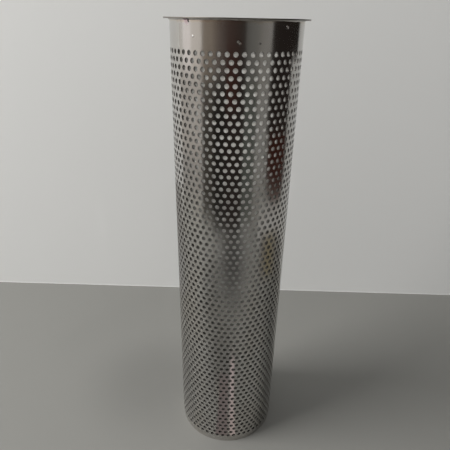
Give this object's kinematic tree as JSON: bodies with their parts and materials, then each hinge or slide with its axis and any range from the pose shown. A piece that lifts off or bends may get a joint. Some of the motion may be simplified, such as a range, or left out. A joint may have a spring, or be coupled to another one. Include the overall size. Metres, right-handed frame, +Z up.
{
  "type": "filter basket",
  "caption": "Tall round strainer basket of rolled perforated stainless steel sheet, lined with fine woven mesh, with a plain top band, a thin welded seating rim and a perforated base disc.",
  "frame": {"origin": "centre of the base, on the surface that the basket stands on", "axes": "+Z up along the tube's axis towards the rim, -Y towards the viewer of the picture, +Y at the welded seam"},
  "size_m": [0.151, 0.151, 0.562],
  "materials": {
    "wall_steel": "bright mill-finished stainless sheet, rolled, with punched holes",
    "rim_steel": "bright stainless flat ring with a small weld and faint heat tint",
    "base_steel": "mill-finished stainless sheet, punched",
    "mesh_steel": "fine woven stainless wire mesh"
  },
  "bodies": {
    "root": {"perforated_wall": "wall_steel", "rim_ring": "rim_steel", "base_disc": "base_steel", "mesh_sleeve": "mesh_steel", "mesh_floor": "mesh_steel"}
  },
  "joints": []
}
